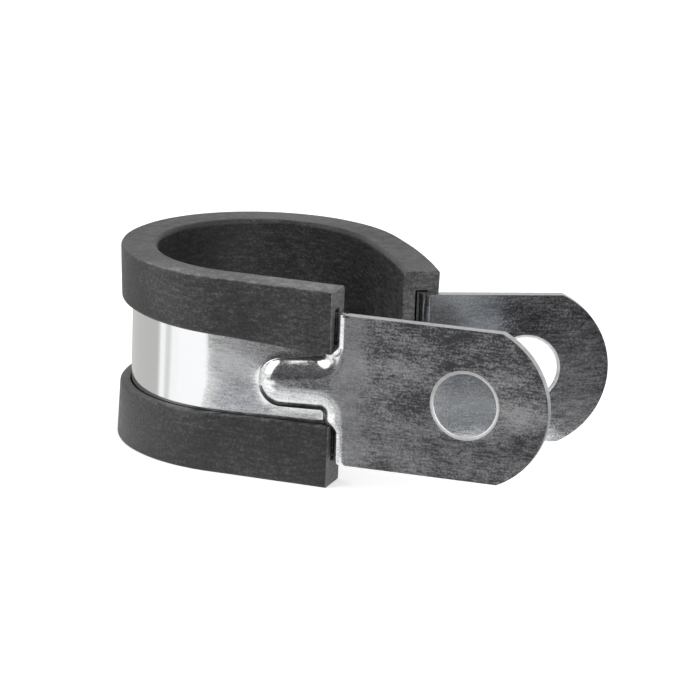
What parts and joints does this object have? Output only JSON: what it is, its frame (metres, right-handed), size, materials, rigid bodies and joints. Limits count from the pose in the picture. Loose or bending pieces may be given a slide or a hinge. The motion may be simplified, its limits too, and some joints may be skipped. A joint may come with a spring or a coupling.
{
  "type": "rubber-lined p clip",
  "caption": "Open loop clip of folded steel band with a rubber channel lining, a stiffening bead and two ears with bolt holes.",
  "frame": {"origin": "on the axis of the cable bore, half way up the rubber lining", "axes": "+Z along the bore, upwards as the clip stands on the lining's rim; +X from the loop towards the ears; the straight front arm is on the -Y side"},
  "size_m": [0.0487, 0.0387, 0.0196],
  "materials": {
    "zinc_plated_steel": "bright zinc plating with fine rolling streaks and a light spangle",
    "black_rubber": "matte, slightly dusty"
  },
  "bodies": {
    "root": {"steel_band": "zinc_plated_steel", "rubber_lining": "black_rubber"}
  },
  "joints": []
}
